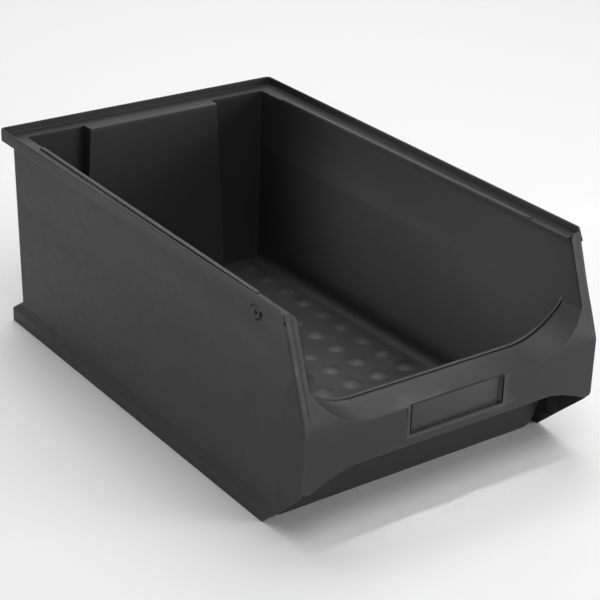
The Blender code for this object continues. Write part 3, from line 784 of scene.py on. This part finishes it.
def build_rim_rib(side):
    """The low rib along the ledge's inner edge."""
    sections = []
    low = LEDGE_TOP - MM
    top = LEDGE_TOP + RIB_HEIGHT
    ends = ((RIB_FRONT_Y, 0.6), (RIB_FRONT_Y + 0.6 * MM, 0.0), (RIB_REAR_Y - 0.6 * MM, 0.0),
            (RIB_REAR_Y, 0.6))
    for y, drop in ends:
        near = INNER_X + inner_shift(y) + 0.15 * MM
        far = near + RIB_WIDTH
        crest = top - drop * MM
        outline = [(near, low), (near, crest - 0.6 * MM), (near + 0.18 * MM, crest - 0.18 * MM),
                   (near + 0.6 * MM, crest), (far - 0.6 * MM, crest), (far - 0.18 * MM, crest - 0.18 * MM),
                   (far, crest - 0.6 * MM), (far, low)]
        sections.append([(side * x, y, z) for x, z in outline])
    name = "right" if side > 0 else "left"
    return ruled(name + "_ledge_rib", sections)


def aim(obj, target):
    obj.rotation_euler = (Vector(target) - obj.location).to_track_quat("-Z", "Y").to_euler()


def polypropylene():
    """Matte black moulded polypropylene: fine mould texture, scuffs, and convex edges painted slightly
    paler as a painted highlight.
    """
    material = bpy.data.materials.new("black_polypropylene")
    material.use_nodes = True
    nodes = material.node_tree.nodes
    links = material.node_tree.links
    shader = nodes["Principled BSDF"]
    shader.inputs["IOR"].default_value = 1.49
    shader.inputs["Specular IOR Level"].default_value = 0.28
    place = nodes.new("ShaderNodeTexCoord")

    def noise(scale, detail, rough=0.5):
        node = nodes.new("ShaderNodeTexNoise")
        node.inputs["Scale"].default_value = scale
        node.inputs["Detail"].default_value = detail
        node.inputs["Roughness"].default_value = rough
        links.new(place.outputs["Object"], node.inputs["Vector"])
        return node

    def span(source, low, high, from_low=0.0, from_high=1.0):
        node = nodes.new("ShaderNodeMapRange")
        node.inputs["From Min"].default_value = from_low
        node.inputs["From Max"].default_value = from_high
        node.inputs["To Min"].default_value = low
        node.inputs["To Max"].default_value = high
        links.new(source, node.inputs["Value"])
        return node.outputs["Result"]

    cloud = noise(14.0, 3.0)
    grain = noise(2600.0, 2.0)
    scuff = noise(90.0, 6.0, 0.65)
    geometry = nodes.new("ShaderNodeNewGeometry")
    # Mask of the convex edges, where a painted highlight is laid into the colour
    edge = span(geometry.outputs["Pointiness"], 0.0, 1.0, 0.52, 0.62)
    tone = nodes.new("ShaderNodeMix")
    tone.data_type = "RGBA"
    tone.inputs["A"].default_value = (0.025, 0.025, 0.026, 1.0)
    tone.inputs["B"].default_value = (0.028, 0.028, 0.029, 1.0)
    links.new(span(cloud.outputs["Fac"], 0.0, 1.0, 0.3, 0.7), tone.inputs["Factor"])
    # Painted highlight: the base colour turns paler along convex edges, standing in for the light that
    # rounded edges catch
    painted_edge_highlight = nodes.new("ShaderNodeMix")
    painted_edge_highlight.data_type = "RGBA"
    painted_edge_highlight.inputs["B"].default_value = (0.050, 0.050, 0.052, 1.0)
    links.new(edge, painted_edge_highlight.inputs["Factor"])
    links.new(tone.outputs["Result"], painted_edge_highlight.inputs["A"])
    links.new(painted_edge_highlight.outputs["Result"], shader.inputs["Base Color"])
    links.new(span(scuff.outputs["Fac"], 0.44, 0.52, 0.3, 0.7), shader.inputs["Roughness"])
    bump = nodes.new("ShaderNodeBump")
    bump.inputs["Strength"].default_value = 0.25
    bump.inputs["Distance"].default_value = 0.00008
    links.new(grain.outputs["Fac"], bump.inputs["Height"])
    links.new(bump.outputs["Normal"], shader.inputs["Normal"])
    return material


def studio():
    """A pale floor and sky, and broad soft lights."""
    work = bmesh.new()
    bmesh.ops.create_grid(work, x_segments=2, y_segments=2, size=6.0)
    floor = mesh_object("studio_floor", work)
    floor.location.z = -0.0002
    pale = bpy.data.materials.new("pale_floor")
    pale.use_nodes = True
    shader = pale.node_tree.nodes["Principled BSDF"]
    shader.inputs["Base Color"].default_value = (0.97, 0.97, 0.97, 1.0)
    shader.inputs["Roughness"].default_value = 0.9
    floor.data.materials.append(pale)
    world = bpy.data.worlds.new("studio")
    world.use_nodes = True
    background = world.node_tree.nodes["Background"]
    background.inputs["Color"].default_value = (1.0, 1.0, 1.0, 1.0)
    background.inputs["Strength"].default_value = WORLD_LIGHT
    bpy.context.scene.world = world
    bpy.context.scene.view_settings.view_transform = "Standard"
    for name, place, target, size, power, spread in STUDIO_LIGHTS:
        lamp = bpy.data.lights.new(name, "AREA")
        lamp.shape = "RECTANGLE"
        lamp.size, lamp.size_y = size
        lamp.energy = power
        lamp.spread = math.radians(spread)
        obj = bpy.data.objects.new(name, lamp)
        obj.location = place
        bpy.context.scene.collection.objects.link(obj)
        aim(obj, target)


def photo_camera():
    yaw, pitch, roll = CAMERA_YAW, CAMERA_PITCH, CAMERA_ROLL
    forward = Vector((math.sin(yaw) * math.cos(pitch), math.cos(yaw) * math.cos(pitch), -math.sin(pitch)))
    level = Vector((math.cos(yaw), -math.sin(yaw), 0.0))
    upright = level.cross(forward)
    right = math.cos(roll) * level + math.sin(roll) * upright
    up = math.cos(roll) * upright - math.sin(roll) * level
    data = bpy.data.cameras.new("photo_camera")
    data.lens = CAMERA_LENS
    data.sensor_width = 36.0
    data.clip_start = 0.05
    camera = bpy.data.objects.new("photo_camera", data)
    turn = Matrix((right, up, -forward)).transposed().to_4x4()
    camera.matrix_world = Matrix.Translation(CAMERA_PLACE) @ turn
    bpy.context.scene.collection.objects.link(camera)
    bpy.context.scene.camera = camera


def pair(name):
    return ["left_" + name, "right_" + name]


shell = build_shell()
front_skin = build_front_skin()
front_wall = build_front_wall()
groove = build_groove()
label_frame = build_label_frame()
label_parts = build_label_back()
for side in (-1, 1):
    cut_boss_pocket(shell, side)
shell.data.shade_smooth()
shell.data.set_sharp_from_angle(angle=SHARP_ANGLE)
bosses = [build_boss(side) for side in (-1, 1)]
rim_ribs = [build_rim_rib(side) for side in (-1, 1)]
plastic = polypropylene()
pieces = [shell, front_skin, front_wall, groove, label_frame] + label_parts + bosses + rim_ribs
for piece in pieces:
    piece.data.materials.clear()
    piece.data.materials.append(plastic)
    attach(piece, "root")

walls = pair("outer_wall") + pair("inner_wall") + pair("rear_wall") + pair("runner") + pair("rim")
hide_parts("floor_panel", "rear_panel", "rear_foot", "rear_rim", *walls)
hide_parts("front_apron", "front_sill", *pair("pillar"), *pair("cheek"))
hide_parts("front_inner_wall", "sill_bead")
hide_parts("label_pocket")
for boss, name in zip(bosses, pair("boss")):
    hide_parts(name)
for rib, name in zip(rim_ribs, pair("rim_rib")):
    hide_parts(name)

studio()
photo_camera()
